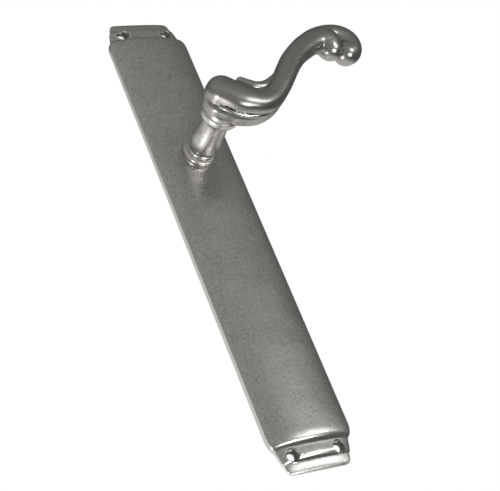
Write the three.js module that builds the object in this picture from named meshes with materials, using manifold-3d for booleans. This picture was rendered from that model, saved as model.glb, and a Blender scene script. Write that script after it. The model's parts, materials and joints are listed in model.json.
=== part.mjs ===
// Sprung scroll lever handle on a long domed backplate, for a door.
// Millimetres. +X right and +Z up as seen from the front, and the front faces -Y.
// The plate's back lies in the plane y = 0, and "height" below means distance out from it, along -Y.
import * as THREE from "three";
import { mergeVertices } from "three/addons/utils/BufferGeometryUtils.js";
import Module from "manifold-3d";

const wasm = await Module();
wasm.setup();

// ---- driving dimensions ----

const PLATE_LENGTH = 290;
const PLATE_HALF_WIDTH = 24;
const PLATE_CROWN = 8.7; // height of the front on the centre line
const PLATE_WALL = 3.5; // height of the plate's side walls
const CROWN_POWER = 0.62; // below 1 the front is full, and rolls over near its edges
const END_LENGTH = 20.3; // the moulded step at each end

const SCREW_SPACING_X = 26.8;
const SCREW_SPACING_Z = 271.4;
const SCREW_HEAD_RADIUS = 3.7;
const SCREW_SHANK_RADIUS = 2.25;
const SCREW_SEAT_HEIGHT = 1.8;

const NECK_Z = 45; // the lever's axis, above the plate's middle
const JOURNAL_RADIUS = 7.3;
const NECK_SHOULDER = 12.3; // height of the neck's shoulder on the bush
const LEVER_DROP_DEG = 45; // how far the lever turns down

const SPINDLE_SIDE = 8;
const SPINDLE_INSIDE = 30; // height of its blind end in the neck
const SPINDLE_OUT = 28; // how far it stands out behind the plate

const HUB_RADIUS = 12.4;
const HUB_HEIGHT = 5.1; // height of the hub's rear face, inside the hollow
const DRIVER_RADIUS = 12;
const DRIVER_HEIGHTS = [1.6, 2.8];
const STOP_RADIUS = 11.2; // circle that the stop pins stand on
const STOP_PIN_RADIUS = 0.9;

const SPRING_RADIUS = 13.6;
const SPRING_WIRE = 1.25;
const SPRING_PITCH = 1.4;
const SPRING_TURNS = 1.6;
const SPRING_HEIGHT = 2.2; // height of the end that the driver turns
const COVER_SCREW_Z = 19.5; // cover screws, above and below the lever's axis

const GAP = 0.1; // clearance of a close fit
const RUNNING_GAP = 0.2; // radial clearance of the bearing

// ---- shape tools ----

// A three.js geometry as a solid, with its faces out.
function solidOf(geometry) {
  const bare = new THREE.BufferGeometry();
  bare.setAttribute("position", geometry.getAttribute("position"));
  if (geometry.index) bare.setIndex(geometry.index);
  const merged = mergeVertices(bare, 1e-4);
  const corners = merged.index.array;
  const kept = [];
  for (let i = 0; i < corners.length; i += 3) {
    const [a, b, c] = corners.slice(i, i + 3);
    if (a !== b && b !== c && c !== a) kept.push(a, b, c);
  }
  const build = (triangles) =>
    new wasm.Manifold(
      new wasm.Mesh({
        numProp: 3,
        vertProperties: new Float32Array(merged.attributes.position.array),
        triVerts: new Uint32Array(triangles),
      }),
    );
  const made = build(kept);
  return made.volume() < 0 ? build(kept.reverse()) : made;
}

// A solid as a three.js geometry, flat-shaded.
function geometryOf(solid) {
  const mesh = solid.getMesh();
  const indexed = new THREE.BufferGeometry();
  indexed.setAttribute("position", new THREE.BufferAttribute(mesh.vertProperties, 3));
  indexed.setIndex(new THREE.BufferAttribute(mesh.triVerts, 1));
  const flat = indexed.toNonIndexed();
  flat.computeVertexNormals();
  return flat;
}

// A body turned about the neck's axis, from a closed outline of [radius, height] points.
function turned(outline, segments = 48) {
  const profile = outline.map(([radius, height]) => new THREE.Vector2(radius, -height));
  if (outline[0][0] > 0) profile.push(profile[0].clone());
  const geometry = new THREE.LatheGeometry(profile, segments);
  geometry.translate(0, 0, NECK_Z);
  return solidOf(geometry);
}

// A round bar along Y between two heights, at x and z.
function bar(radius, heights, x, z, segments = 24) {
  const geometry = new THREE.CylinderGeometry(radius, radius, heights[1] - heights[0], segments);
  geometry.translate(x, -(heights[0] + heights[1]) / 2, z);
  return solidOf(geometry);
}

// A block between two x values, two heights and two z values.
function block(xs, heights, zs) {
  const geometry = new THREE.BoxGeometry(xs[1] - xs[0], heights[1] - heights[0], zs[1] - zs[0]);
  geometry.translate((xs[0] + xs[1]) / 2, -(heights[0] + heights[1]) / 2, (zs[0] + zs[1]) / 2);
  return solidOf(geometry);
}

// A ring between two radii and two heights, about the neck's axis.
function ring(radii, heights, segments = 48) {
  return turned(
    [
      [radii[0], heights[0]],
      [radii[1], heights[0]],
      [radii[1], heights[1]],
      [radii[0], heights[1]],
    ],
    segments,
  );
}

// A skin over closed sections with equal numbers of points, closed by a fan at each end.
function loft(sections) {
  const count = sections[0].length;
  const points = sections.flat();
  const triangles = [];
  for (let s = 0; s + 1 < sections.length; s += 1) {
    for (let i = 0; i < count; i += 1) {
      const a = s * count + i;
      const b = s * count + ((i + 1) % count);
      triangles.push(a, b, a + count, b, b + count, a + count);
    }
  }
  for (const end of [0, sections.length - 1]) {
    const middle = new THREE.Vector3();
    sections[end].forEach((point) => middle.addScaledVector(point, 1 / count));
    points.push(middle);
    for (let i = 0; i < count; i += 1) {
      const a = end * count + i;
      const b = end * count + ((i + 1) % count);
      triangles.push(...(end ? [a, b, points.length - 1] : [b, a, points.length - 1]));
    }
  }
  const geometry = new THREE.BufferGeometry().setFromPoints(points);
  geometry.setIndex(triangles);
  return solidOf(geometry);
}

// A point on a circle about the neck's axis. The angle runs from +X towards -Z, as the lever drops.
function polar(radius, degrees, height) {
  const angle = THREE.MathUtils.degToRad(degrees);
  return new THREE.Vector3(radius * Math.cos(angle), -height, NECK_Z - radius * Math.sin(angle));
}

// ---- backplate ----

// One end's moulding: distance from the end, half width, height on the centre line, height of the wall.
// A sloping lip, a step up to the screw tab, and a step up to the domed body with its rounded corners.
const END_STATIONS = [
  [0, 15.4, 1.5, 1.0],
  [0.7, 17.1, 2.1, 1.3],
  [2, 18.1, 2.6, 1.5],
  [4, 18.7, 3.1, 1.6],
  [5.4, 19.0, 3.3, 1.7],
  [6, 19.5, 4.1, 1.8],
  [6.8, 19.8, 5.0, 1.9],
  [8.2, 20.2, 5.5, 2.0],
  [12.4, 21.2, 5.5, 2.1],
  [13.4, 21.5, 5.7, 2.3],
  [14, 22.2, 6.5, 2.7],
  [14.9, 22.8, 7.6, 3.1],
  [16.2, 23.3, 8.3, 3.3],
  [18, 23.8, 8.6, 3.4],
  [END_LENGTH, PLATE_HALF_WIDTH, PLATE_CROWN, PLATE_WALL],
];

// The plate's section at one z: a flat back, upright walls and a full domed front.
function plateSection(z, halfWidth, crown, wall) {
  const steps = 20;
  const points = [new THREE.Vector3(halfWidth, 0, z)];
  for (let i = 0; i <= steps; i += 1) {
    const across = Math.cos((Math.PI * i) / steps);
    const rise = (1 - across * across) ** CROWN_POWER;
    points.push(new THREE.Vector3(halfWidth * across, -(wall + (crown - wall) * rise), z));
  }
  points.push(new THREE.Vector3(-halfWidth, 0, z));
  return points;
}

function plateOutside() {
  const low = END_STATIONS.map(([d, ...rest]) => plateSection(d - PLATE_LENGTH / 2, ...rest));
  const high = END_STATIONS.map(([d, ...rest]) => plateSection(PLATE_LENGTH / 2 - d, ...rest));
  return loft([...low, ...high.reverse()]);
}

// The hollow in the back, one bay between each pair of ribs.
function plateBay(from, to) {
  const [sideWall, skin, edge] = [2.2, 1.8, 0.6];
  const section = (z, deeper) =>
    plateSection(z, PLATE_HALF_WIDTH - sideWall, PLATE_CROWN - skin, PLATE_WALL - edge).map(
      (point) => new THREE.Vector3(point.x, point.y === 0 ? deeper : point.y, z),
    );
  const behind = 1; // the cutting shape starts behind the plate
  return loft([section(from, behind), section(to, behind)]);
}

const RIBS_Z = [-120.5, -60, 0, 80, 120.5]; // the first and last are the solid ends
const RIB_HALF = 1.5;

function screwHole(x, z) {
  const head = bar(SCREW_HEAD_RADIUS, [SCREW_SEAT_HEIGHT, PLATE_CROWN], x, z, 32);
  return head.add(bar(SCREW_SHANK_RADIUS, [-1, PLATE_CROWN], x, z));
}

function backplate() {
  const outside = plateOutside();
  let plate = outside;
  for (let i = 0; i + 1 < RIBS_Z.length; i += 1)
    plate = plate.subtract(plateBay(RIBS_Z[i] + RIB_HALF, RIBS_Z[i + 1] - RIB_HALF));
  const hub = bar(HUB_RADIUS, [HUB_HEIGHT, PLATE_CROWN], 0, NECK_Z, 48);
  plate = plate.add(hub.intersect(outside));
  for (const side of [-1, 1]) {
    const z = NECK_Z + side * COVER_SCREW_Z;
    plate = plate.add(bar(3, [3.1, 7.5], 0, z)).subtract(bar(1.4, [3, 6.4], 0, z));
    const stop = polar(STOP_RADIUS, 30 + side * 90, 0);
    plate = plate.subtract(bar(STOP_PIN_RADIUS + GAP, [5, 6.5], stop.x, stop.z, 16));
    for (const end of [-1, 1])
      plate = plate.subtract(screwHole((side * SCREW_SPACING_X) / 2, (end * SCREW_SPACING_Z) / 2));
  }
  const anchor = springAnchor();
  plate = plate.subtract(bar(1.1, [3, 6.2], anchor.x, anchor.z, 16));
  const bushBore = bar(8.7, [3, 10], 0, NECK_Z, 48);
  const collarSeat = bar(9.8, [6.8, 10], 0, NECK_Z, 48);
  return plate.subtract(bushBore).subtract(collarSeat);
}

// ---- bearing and collar ----

// Ring with a rounded rim and a small foot, let into the plate's front.
function collarRing() {
  const [inner, outer, mid] = [8.7, 9.6, 10.7];
  const outline = [
    [inner, 7],
    [outer - 0.1, 7],
    [outer - 0.1, 9.2],
  ];
  for (let i = 0; i <= 6; i += 1) {
    const turn = -Math.PI / 2 + (Math.PI * i) / 6;
    outline.push([outer - 0.35 + 0.35 * Math.cos(turn), mid + 1.1 * Math.sin(turn)]);
  }
  outline.push([inner, 11.8]);
  return turned(outline);
}

function neckBush() {
  const inner = JOURNAL_RADIUS + RUNNING_GAP;
  return turned([
    [inner, 3.9],
    [9.9, 3.9],
    [9.9, 4.8],
    [8.5, 4.8],
    [8.5, 12],
    [inner, 12],
  ]);
}

// ---- lever ----

// Turned neck, disc and tail: radius and height, from the tail's end to the top inside the head.
function neck() {
  const groove = [0.4, 1.3];
  const grooveRadius = 6.6;
  const outline = [
    [0, 0.1],
    [JOURNAL_RADIUS, 0.1],
    [JOURNAL_RADIUS, groove[0]],
    [grooveRadius, groove[0]],
    [grooveRadius, groove[1]],
    [JOURNAL_RADIUS, groove[1]],
    [JOURNAL_RADIUS, NECK_SHOULDER],
    [7.7, NECK_SHOULDER],
  ];
  for (let i = 0; i <= 8; i += 1) {
    const turn = -Math.PI / 2 + (Math.PI * i) / 8;
    outline.push([7.5 + 0.8 * Math.cos(turn), 14 + 1.3 * Math.sin(turn)]);
  }
  outline.push([7.2, 15.9]);
  const barrel = new THREE.CatmullRomCurve3(
    [
      [7.6, 16.4],
      [8.4, 18.5],
      [8.8, 22.5],
      [8.5, 27],
      [7.8, 32],
      [7.5, 37],
      [7.8, 39.5],
      [9.0, 41.6],
    ].map(([radius, height]) => new THREE.Vector3(radius, height, 0)),
  );
  barrel.getPoints(18).forEach((point) => outline.push([point.x, point.y]));
  outline.push([10.2, 42.1], [10.7, 42.8], [10.7, 46], [10.3, 46.5], [8.6, 46.8], [8.4, 52], [0, 52]);
  return turned(outline);
}

// A strand of the scroll follows a flat S. Each station has x and z from the neck's axis, the height of
// its middle, its half width in the plane of the S and its half depth.
const MAIN_STRAND = [
  [-2.2, 4.7, 56, 8.7, 8],
  [5.5, -1, 56, 9, 8.3],
  [11, -3, 56, 8.3, 7.7],
  [16.5, -3.9, 56, 7.3, 7],
  [22, -2.9, 56.2, 6.6, 6.4],
  [28, 0.3, 56.4, 6, 6.1],
  [35.6, 7.8, 56.7, 5.8, 6.2],
  [45.4, 19.7, 56.9, 6, 6.3],
  [52.3, 26.3, 57, 6, 6.3],
  [59, 31, 57, 6.2, 6.4],
  [66, 34.7, 57, 6.7, 6.4],
  [72, 36.5, 57, 7.5, 6.4],
  [78.6, 36.6, 57, 8.3, 6.4],
];
// The head's straight wall, below the widest level of the main strand.
const WALL = [
  [-2, 4.7, 51.3, 8.2, 5.1],
  [5.5, -1, 51.3, 8.7, 5.1],
  [11, -3, 51.3, 8, 5.1],
  [16.5, -3.9, 51.4, 7, 5],
  [28, 0.3, 52.2, 5.4, 4.6],
  [35.6, 7.8, 53.2, 4.2, 4],
];
const SKIRT = [
  [0.8, -1.5, 50.3, 8.9, 4.1],
  [10, -3.4, 50.3, 9.2, 4.1],
  [16.5, -3.5, 50.3, 8.4, 4.1],
  [23.5, -2, 50.5, 6.6, 4],
  [29.5, 1.6, 51.2, 5.1, 4],
  [36, 8.2, 52.2, 4, 4.2],
];
// The thin roll between the main strand and the skirt.
const BEAD = [
  [-6.2, -3.2, 54.5, 0.6, 0.7],
  [-3.5, -5.8, 55.2, 1.2, 1.2],
  [0, -8.2, 55.2, 1.3, 1.3],
  [5.5, -10.6, 55, 1.2, 1.2],
  [12, -11.4, 54.6, 1.1, 1.1],
  [18.5, -10.6, 54.2, 1, 1],
  [24, -8, 54, 0.8, 0.8],
];
const WEB = [
  [6, 6.5, 50.2, 4.5, 3.6],
  [14, 5.5, 50.2, 4.6, 3.6],
  [22, 4.5, 50.4, 4.4, 3.7],
  [31, 8.5, 51.5, 4, 3.8],
  [41, 17.5, 53, 3.6, 4],
];
const OUTER_STRAND = [
  [11.2, 10.9, 56.6, 2.3, 2.6],
  [15, 8.2, 56.5, 2.9, 3.2],
  [19.8, 6.2, 56.4, 3.2, 3.4],
  [26.7, 7.4, 56.3, 3.2, 3.5],
  [34.9, 12.8, 56.1, 3.2, 3.8],
  [40.6, 18.2, 55.9, 3.5, 4.2],
  [47, 24.8, 55.5, 3.8, 4.6],
  [54, 30.6, 55, 4.3, 5],
  [62, 36.3, 54.5, 5, 5.4],
  [70, 40.5, 54, 5.5, 5.8],
  [77.9, 42.6, 53.5, 6, 6.2],
  [83.9, 43, 53.2, 6.3, 6.5],
  [88.4, 41.5, 53, 7, 6.9],
  [91.7, 38.3, 53, 7.3, 7.1],
  [92.6, 34.3, 53, 7.3, 7.2],
  [91.1, 31.2, 53, 7.2, 7.2],
  [88.4, 29.8, 53, 7.2, 7.2],
];
const CURL_BALL = [76.5, 30.8, 56.6, 7.2, 7]; // ends the inner curl

// The section at one station. A power of 2 is an ellipse, and more is squarer.
function strandSection(centre, across, station, scale, power, count) {
  const bend = 2 / power;
  const push = (value) => Math.sign(value) * Math.abs(value) ** bend;
  return Array.from({ length: count }, (_, i) => {
    const turn = (2 * Math.PI * i) / count;
    const side = station.halfWidth * scale * push(Math.cos(turn));
    const out = station.halfDepth * scale * push(Math.sin(turn));
    return new THREE.Vector3(centre.x + across.x * side, centre.y - out, centre.z + across.z * side);
  });
}

function strand(stations, power = 2, count = 18, perSpan = 2) {
  const path = new THREE.CatmullRomCurve3(
    stations.map(([x, z, height]) => new THREE.Vector3(x, -height, NECK_Z + z)),
  );
  const size = new THREE.CatmullRomCurve3(stations.map(([, , , a, b]) => new THREE.Vector3(a, b, 0)));
  const spans = (stations.length - 1) * perSpan;
  const at = (t) => {
    const tangent = path.getTangent(t).setY(0).normalize();
    const radii = size.getPoint(t);
    return {
      centre: path.getPoint(t),
      tangent,
      across: new THREE.Vector3(-tangent.z, 0, tangent.x),
      halfWidth: radii.x,
      halfDepth: radii.y,
    };
  };
  const sections = [];
  const addSection = (place, lean) => {
    const reach = Math.sin(lean) * place.halfWidth;
    const centre = place.centre.clone().addScaledVector(place.tangent, reach);
    sections.push(strandSection(centre, place.across, place, Math.cos(lean), power, count));
  };
  const caps = [80, 60, 40, 20].map(THREE.MathUtils.degToRad); // rounded ends
  caps.forEach((lean) => addSection(at(0), -lean));
  for (let i = 0; i <= spans; i += 1) addSection(at(i / spans), 0);
  [...caps].reverse().forEach((lean) => addSection(at(1), lean));
  return loft(sections);
}

function ball([x, z, height, halfWidth, halfDepth]) {
  const geometry = new THREE.SphereGeometry(1, 20, 12);
  geometry.scale(halfWidth, halfDepth, halfWidth);
  geometry.translate(x, -height, NECK_Z + z);
  return solidOf(geometry);
}

function leverHandle() {
  const scroll = strand(MAIN_STRAND, 2.4)
    .add(strand(WALL, 6))
    .add(strand(SKIRT, 5))
    .add(strand(BEAD, 2, 8))
    .add(strand(WEB, 3, 12))
    .add(strand(OUTER_STRAND, 2, 16))
    .add(ball(CURL_BALL));
  const half = SPINDLE_SIDE / 2 + GAP;
  const socket = block([-half, half], [-1, SPINDLE_INSIDE + 1], [NECK_Z - half, NECK_Z + half]);
  let lever = neck().add(scroll).subtract(socket).subtract(crossBar(1.5 + GAP, 20));
  for (const side of [-1, 1]) {
    const xs = [side * 6.7, side * 10].sort((a, b) => a - b);
    lever = lever.subtract(block(xs, [-1, 3], [NECK_Z - 10, NECK_Z + 10]));
  }
  return lever;
}

// ---- spindle ----

// A bar along X through the journal, inside the bush.
function crossBar(radius, length) {
  const geometry = new THREE.CylinderGeometry(radius, radius, length, 20);
  geometry.rotateZ(Math.PI / 2);
  geometry.translate(0, -7.8, NECK_Z);
  return solidOf(geometry);
}

function spindle() {
  const chamfer = 0.6;
  const half = SPINDLE_SIDE / 2 - chamfer;
  const square = new THREE.Shape([
    new THREE.Vector2(-half, -half),
    new THREE.Vector2(half, -half),
    new THREE.Vector2(half, half),
    new THREE.Vector2(-half, half),
  ]);
  const length = SPINDLE_INSIDE + SPINDLE_OUT;
  const geometry = new THREE.ExtrudeGeometry(square, {
    depth: length - 2 * chamfer,
    bevelThickness: chamfer,
    bevelSize: chamfer,
    bevelSegments: 1,
  });
  geometry.rotateX(-Math.PI / 2);
  geometry.translate(0, chamfer - SPINDLE_INSIDE, NECK_Z);
  return solidOf(geometry).subtract(crossBar(1.5 + GAP, 20));
}

// ---- driver, stops and retaining parts ----

// A pie slice about the neck's axis, between two radii and two angles in degrees.
function slice(radii, heights, from, to) {
  const steps = 10;
  const place = (radius, i) => polar(radius, from + ((to - from) * i) / steps, 0);
  const outer = Array.from({ length: steps + 1 }, (_, i) => place(radii[1], i));
  const inner = Array.from({ length: steps + 1 }, (_, i) => place(radii[0], steps - i));
  const shape = new THREE.Shape([...outer, ...inner].map(({ x, z }) => new THREE.Vector2(x, z)));
  const geometry = new THREE.ExtrudeGeometry(shape, {
    depth: heights[1] - heights[0],
    bevelEnabled: false,
  });
  geometry.rotateX(Math.PI / 2);
  geometry.translate(0, -heights[0], 0);
  return solidOf(geometry);
}

function driverPlate() {
  const through = [DRIVER_HEIGHTS[0] - 1, DRIVER_HEIGHTS[1] + 1];
  const key = ring([1, JOURNAL_RADIUS + 0.15], through).add(bar(2, through, 0, NECK_Z));
  const flat = 6.7 + GAP;
  const hole = key.intersect(block([-flat, flat], through, [NECK_Z - 10, NECK_Z + 10]));
  let driver = bar(DRIVER_RADIUS, DRIVER_HEIGHTS, 0, NECK_Z, 64).subtract(hole);
  const pinHalfAngle = THREE.MathUtils.radToDeg(STOP_PIN_RADIUS / STOP_RADIUS) + 1.2;
  for (const angle of [-60, 120]) {
    const from = angle - LEVER_DROP_DEG - pinHalfAngle;
    driver = driver.subtract(slice([9.9, 14], through, from, angle + pinHalfAngle));
  }
  const legHalf = SPRING_WIRE / 2 + 0.3;
  const legNotch = block([-14, -9.3], through, [NECK_Z - legHalf, NECK_Z + legHalf]);
  return driver.subtract(legNotch);
}

function stopPin(degrees) {
  const at = polar(STOP_RADIUS, degrees, 0);
  return bar(STOP_PIN_RADIUS, [1.8, 6.4], at.x, at.z, 16);
}

function circlip() {
  const whole = ring([6.75, 9.3], [0.45, 1.25]);
  return whole.subtract(slice([6, 11], [-1, 3], 60, 120));
}

// ---- return spring ----

const SPRING_START = 180; // angle of the leg in the driver's notch
const SPRING_END = SPRING_START - 360 * SPRING_TURNS; // angle of the leg at the anchor pin

// Inner leg, coil and outer leg as one wire.
function returnSpring() {
  const top = SPRING_HEIGHT + SPRING_PITCH * SPRING_TURNS;
  const points = [
    polar(9.7, SPRING_START, SPRING_HEIGHT),
    polar(11.4, SPRING_START, SPRING_HEIGHT),
    polar(12.9, SPRING_START - 3, SPRING_HEIGHT),
  ];
  const coilSteps = 40;
  const lead = 10; // degrees that each bend takes
  for (let i = 0; i <= coilSteps; i += 1) {
    const done = i / coilSteps;
    const angle = SPRING_START - lead - (360 * SPRING_TURNS - 2 * lead) * done;
    points.push(polar(SPRING_RADIUS, angle, SPRING_HEIGHT + SPRING_PITCH * SPRING_TURNS * done));
  }
  points.push(
    polar(14.4, SPRING_END + 3, top),
    polar(16, SPRING_END, top),
    polar(18.8, SPRING_END, top),
  );
  const wire = new THREE.Shape();
  wire.absarc(0, 0, SPRING_WIRE / 2, 0, 2 * Math.PI);
  const geometry = new THREE.ExtrudeGeometry(wire, {
    steps: 120,
    curveSegments: 4,
    extrudePath: new THREE.CatmullRomCurve3(points),
  });
  return solidOf(geometry);
}

// The anchor pin's place, beside the fixed leg.
function springAnchor() {
  const leg = polar(17.4, SPRING_END, 0);
  const ahead = polar(17.4, SPRING_END + 90, 0).sub(polar(0, 0, 0)).normalize();
  return leg.addScaledVector(ahead, SPRING_WIRE / 2 + 1 + GAP);
}

function springAnchorPin() {
  const at = springAnchor();
  return bar(1, [1.5, 6.1], at.x, at.z, 16);
}

// ---- spring cover and its screws ----

const EAR_HEIGHTS = [2, 2.8];

function springCover() {
  const cover = [ring([10.3, 16], [0.3, 1.1])];
  for (const side of [-1, 1]) {
    const span = (from, to) => [NECK_Z + side * from, NECK_Z + side * to].sort((a, b) => a - b);
    cover.push(block([-3.6, 3.6], [0.3, EAR_HEIGHTS[1]], span(15, 16)));
    cover.push(block([-3.6, 3.6], EAR_HEIGHTS, span(15, 23)));
  }
  let whole = wasm.Manifold.union(cover);
  for (const side of [-1, 1])
    whole = whole.subtract(bar(1.5, [1.5, 4], 0, NECK_Z + side * COVER_SCREW_Z));
  return whole;
}

function coverScrew(side) {
  const z = NECK_Z + side * COVER_SCREW_Z;
  const head = bar(2.6, [0.5, 1.9], 0, z);
  const slot = block([-3, 3], [0, 1.1], [z - 0.35, z + 0.35]);
  return head.add(bar(1.25, [1.8, 6.2], 0, z, 16)).subtract(slot);
}

// ---- finishes ----

const finish = (color, metalness, roughness) => ({ color, metalness, roughness });
const PEWTER = finish(0x73716c, 0.9, 0.42);
const BURNISHED = finish(0x86837d, 0.95, 0.28);
const STEEL = finish(0x8d9092, 0.95, 0.4);
const SPRING_STEEL = finish(0x5c5f62, 0.95, 0.35);
const NYLON = finish(0xe4e1d6, 0, 0.6);

const PIECES = [
  ["backplate", backplate(), PEWTER],
  ["collar_ring", collarRing(), BURNISHED],
  ["neck_bush", neckBush(), NYLON],
  ["lever_handle", leverHandle(), BURNISHED],
  ["spindle", spindle(), STEEL],
  ["spindle_pin", crossBar(1.5, 14), STEEL],
  ["thrust_washer", ring([7.6, 9.6], [3.1, 3.6]), STEEL],
  ["driver_plate", driverPlate(), STEEL],
  ["return_spring", returnSpring(), SPRING_STEEL],
  ["spring_anchor_pin", springAnchorPin(), STEEL],
  ["stop_pin_upper", stopPin(-60), STEEL],
  ["stop_pin_lower", stopPin(120), STEEL],
  ["spring_cover", springCover(), STEEL],
  ["cover_screw_upper", coverScrew(1), STEEL],
  ["cover_screw_lower", coverScrew(-1), STEEL],
  ["circlip", circlip(), SPRING_STEEL],
];

const group = new THREE.Group();
for (const [name, solid, look] of PIECES) {
  const mesh = new THREE.Mesh(geometryOf(solid), new THREE.MeshStandardMaterial(look));
  mesh.name = name;
  group.add(mesh);
}

export default group;
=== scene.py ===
"""Looks of a sprung scroll lever handle on a long domed backplate, in antique pewter.

Lengths below are millimetres, except that the studio's places and sizes, but not its lens, are
metres. "Height" is the distance out from the door, along -Y.
"""
import json
import math
from itertools import product

import bmesh
import bpy
import numpy as np
from mathutils import Matrix, Vector


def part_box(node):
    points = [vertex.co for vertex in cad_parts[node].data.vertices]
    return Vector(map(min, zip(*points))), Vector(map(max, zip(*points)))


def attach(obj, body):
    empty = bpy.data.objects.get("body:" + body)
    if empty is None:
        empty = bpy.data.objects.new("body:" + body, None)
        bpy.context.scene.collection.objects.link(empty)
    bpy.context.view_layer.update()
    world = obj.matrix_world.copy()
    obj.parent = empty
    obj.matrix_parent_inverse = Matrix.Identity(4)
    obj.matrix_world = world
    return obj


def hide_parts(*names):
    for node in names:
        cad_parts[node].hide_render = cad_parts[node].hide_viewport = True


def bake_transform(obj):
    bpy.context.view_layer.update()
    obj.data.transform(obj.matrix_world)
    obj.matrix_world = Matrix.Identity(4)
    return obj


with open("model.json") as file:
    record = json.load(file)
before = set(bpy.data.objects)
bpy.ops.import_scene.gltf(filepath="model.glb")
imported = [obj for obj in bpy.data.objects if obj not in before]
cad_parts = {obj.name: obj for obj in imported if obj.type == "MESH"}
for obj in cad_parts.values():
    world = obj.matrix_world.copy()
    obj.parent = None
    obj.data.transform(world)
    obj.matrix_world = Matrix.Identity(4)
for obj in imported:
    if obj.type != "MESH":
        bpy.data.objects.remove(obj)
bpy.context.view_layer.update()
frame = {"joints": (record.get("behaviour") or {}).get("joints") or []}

MM = 0.001

# ---- places and sizes that the CAD model gives ----

HINGE = frame["joints"][0]
NECK_Z = HINGE["pos_m"][2] / MM
DROP_DEG = HINGE["range_deg"][1]
PLATE_LOW, PLATE_HIGH = (np.array(corner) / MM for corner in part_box("backplate"))
PLATE_HALF_WIDTH = PLATE_HIGH[0]
PLATE_HALF_LENGTH = PLATE_HIGH[2]
PLATE_CROWN = -PLATE_LOW[1]


def heights(node):
    """A node's lowest and highest height, in mm."""
    low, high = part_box(node)
    return -high[1] / MM, -low[1] / MM


def radius_of(node):
    """The radius of a node that is round about the neck's axis, in mm."""
    low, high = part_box(node)
    return (high[0] - low[0]) / 2 / MM


# ---- camera, lights and floor ----

CAMERA_AT = (-0.3671, -0.5835, -0.3648)
CAMERA_AIM = (0.01343, -0.0002, -0.01179)
CAMERA_ROLL = math.radians(-22.86)
CAMERA_LENS = 104.4
CAMERA_CLIP_START = 0.01


def facing(place, aim, roll=0.0):
    """The matrix of a camera or light at place that looks at aim."""
    look = Vector(aim) - Vector(place)
    turn = look.to_track_quat("-Z", "Y").to_matrix().to_4x4()
    return Matrix.Translation(place) @ turn @ Matrix.Rotation(roll, 4, "Z")


def make_camera():
    """A long lens, low and to the left, with the handle tilted in the picture."""
    data = bpy.data.cameras.new("camera")
    data.lens = CAMERA_LENS
    data.clip_start = CAMERA_CLIP_START
    camera = bpy.data.objects.new("camera", data)
    bpy.context.collection.objects.link(camera)
    camera.matrix_world = facing(CAMERA_AT, CAMERA_AIM, CAMERA_ROLL)
    bpy.context.scene.camera = camera


# Softboxes: direction from the object, distance, width, height and watts.
SOFTBOXES = {
    "right_box": ((0.52, -0.85, -0.10), 1.5, 0.35, 0.35, 5),
    "belly_box": ((0.20, -0.66, -0.72), 1.5, 0.75, 0.50, 20),
    "head_box": ((-0.76, 0.04, -0.65), 1.3, 0.27, 0.27, 8),
    "neck_box": ((-0.72, 0.47, -0.50), 1.3, 0.16, 0.16, 1.6),
}


def make_lights():
    """Softboxes that face the object. Each leaves a highlight on the polished parts."""
    for name, (direction, distance, width, height, power) in SOFTBOXES.items():
        data = bpy.data.lights.new(name, "AREA")
        data.shape = "RECTANGLE"
        data.size = width
        data.size_y = height
        data.energy = power
        light = bpy.data.objects.new(name, data)
        bpy.context.collection.objects.link(light)
        light.matrix_world = facing(Vector(direction).normalized() * distance, (0, 0, 0))


WHITE_SIDE = (-0.20, 0.90, -0.38)  # towards the white sheet, behind and below the object
SHEET_EDGE = (0.38, 0.54)  # where along that direction the dark room fades to the sheet
LIT_SIDE = (-0.50, -0.80, 0.30)  # where the room is lighter
LIT_SPAN = (-0.10, 1.0)  # where along that direction the room goes from dark to light
ROOM_DARK = (0.15, 0.15, 0.147)
ROOM_LIGHT = (0.42, 0.42, 0.415)
SHEET = (0.92, 0.91, 0.89)


def make_world():
    """A dark room with a white sheet behind and below the object. The camera sees plain white."""
    world = bpy.data.worlds.new("studio")
    bpy.context.scene.world = world
    world.use_nodes = True
    nodes, links = world.node_tree.nodes, world.node_tree.links
    nodes.clear()
    out = nodes.new("ShaderNodeOutputWorld")
    seen = nodes.new("ShaderNodeBackground")
    seen.inputs["Color"].default_value = (1, 1, 1, 1)
    room = nodes.new("ShaderNodeBackground")
    way = nodes.new("ShaderNodeTexCoord")

    def share(direction, span, interpolation):
        """How far a ray points in a direction, from 0 at the span's start to 1 at its end."""
        towards = nodes.new("ShaderNodeVectorMath")
        towards.operation = "DOT_PRODUCT"
        towards.inputs[1].default_value = direction
        edge = nodes.new("ShaderNodeMapRange")
        edge.interpolation_type = interpolation
        edge.inputs["From Min"].default_value = span[0]
        edge.inputs["From Max"].default_value = span[1]
        links.new(way.outputs["Generated"], towards.inputs[0])
        links.new(towards.outputs["Value"], edge.inputs["Value"])
        return edge.outputs["Result"]

    walls = mixed(nodes, links, share(LIT_SIDE, LIT_SPAN, "LINEAR"), ROOM_DARK, ROOM_LIGHT)
    whole = mixed(nodes, links, share(WHITE_SIDE, SHEET_EDGE, "SMOOTHSTEP"), walls, SHEET)
    path = nodes.new("ShaderNodeLightPath")
    mix = nodes.new("ShaderNodeMixShader")
    links.new(whole, room.inputs["Color"])
    links.new(path.outputs["Is Camera Ray"], mix.inputs[0])
    links.new(room.outputs[0], mix.inputs[1])
    links.new(seen.outputs[0], mix.inputs[2])
    links.new(mix.outputs[0], out.inputs["Surface"])


FLOOR_SIZE = 6
FLOOR_Z = -0.85
FLOOR_COLOUR = (0.86, 0.86, 0.85)
FLOOR_GLOW = (0.9, 0.9, 0.89)
FLOOR_GLOW_STRENGTH = 0.4


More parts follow.
